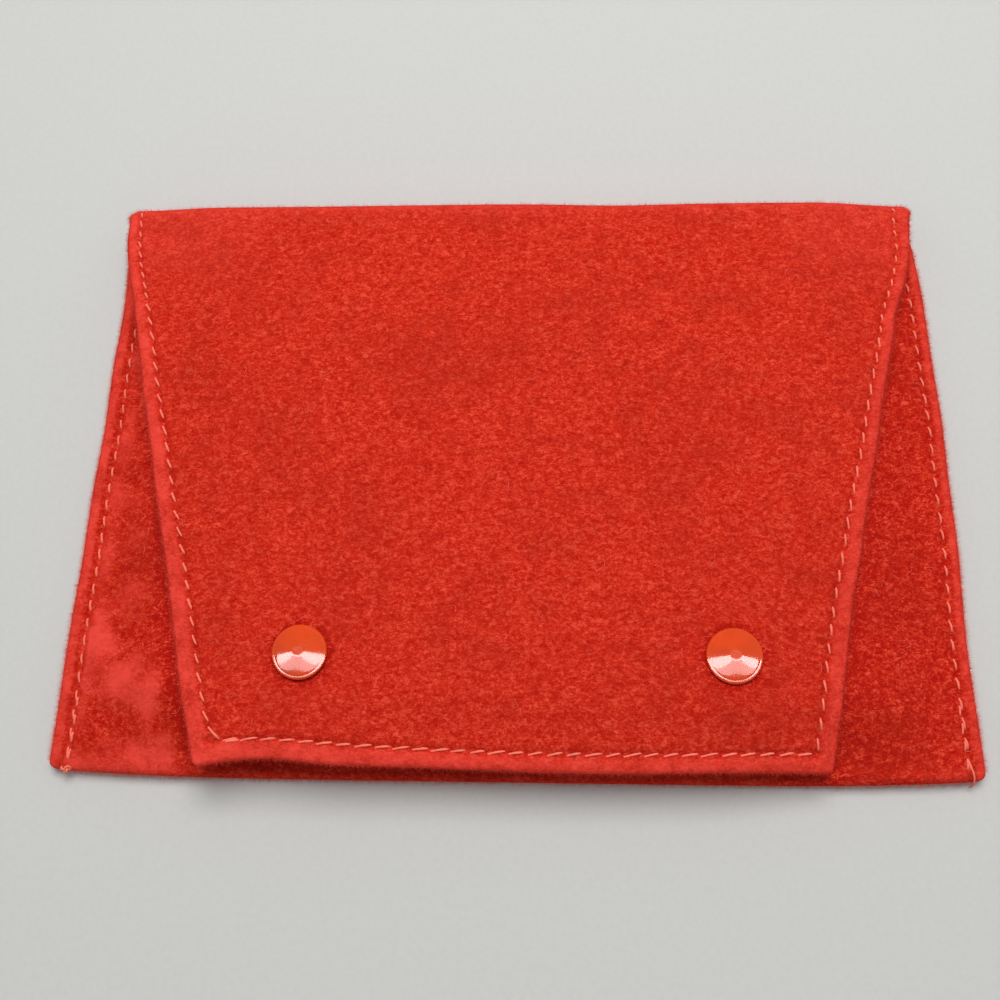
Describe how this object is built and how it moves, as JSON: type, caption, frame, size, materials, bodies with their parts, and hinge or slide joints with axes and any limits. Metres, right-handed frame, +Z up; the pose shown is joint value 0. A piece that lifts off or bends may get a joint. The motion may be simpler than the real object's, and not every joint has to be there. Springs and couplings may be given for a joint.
{
  "type": "jewelry pouch",
  "caption": "Flat velvet pouch sewn down its sides, with a deep tapered flap that folds over the front and closes with domed snap fasteners.",
  "frame": {"origin": "middle of the back panel's outer face, on the surface that the closed pouch lies on", "axes": "+X across the pouch, +Y from the bottom fold to the top fold, +Z up from the back panel to the flap"},
  "size_m": [0.17, 0.1164, 0.0141],
  "materials": {
    "velvet": "short soft pile, mottled by the lie of the nap, paler on the turned edges",
    "lining": "matte woven lining",
    "thread": "pale coral sewing thread with a slight sheen",
    "enamel": "glossy enamel",
    "nickel": "nickel-plated",
    "spring_steel": "drawn wire"
  },
  "bodies": {
    "pocket": {"back_panel": "velvet", "back_lining": "lining", "front_panel": "velvet", "front_lining": "lining", "top_fold": "velvet", "top_fold_lining": "lining", "left_seam_thread": "thread", "right_seam_thread": "thread", "left_snap_stud": "nickel", "left_stud_post": "nickel", "right_snap_stud": "nickel", "right_stud_post": "nickel"},
    "flap": {"flap_panel": "velvet", "flap_lining": "lining", "flap_thread": "thread", "left_snap_cap": "enamel", "left_snap_post": "nickel", "left_snap_socket": "nickel", "left_snap_spring": "spring_steel", "right_snap_cap": "enamel", "right_snap_post": "nickel", "right_snap_socket": "nickel", "right_snap_spring": "spring_steel"}
  },
  "joints": [
    {"name": "flap_fold", "type": "hinge", "parent": "pocket", "child": "flap", "pos_m": [0, 0.05425, 0.006], "axis": [-1, 0, 0], "range_deg": [0, 178], "deforming": ["top_fold", "top_fold_lining", "left_snap_spring", "right_snap_spring"]}
  ]
}
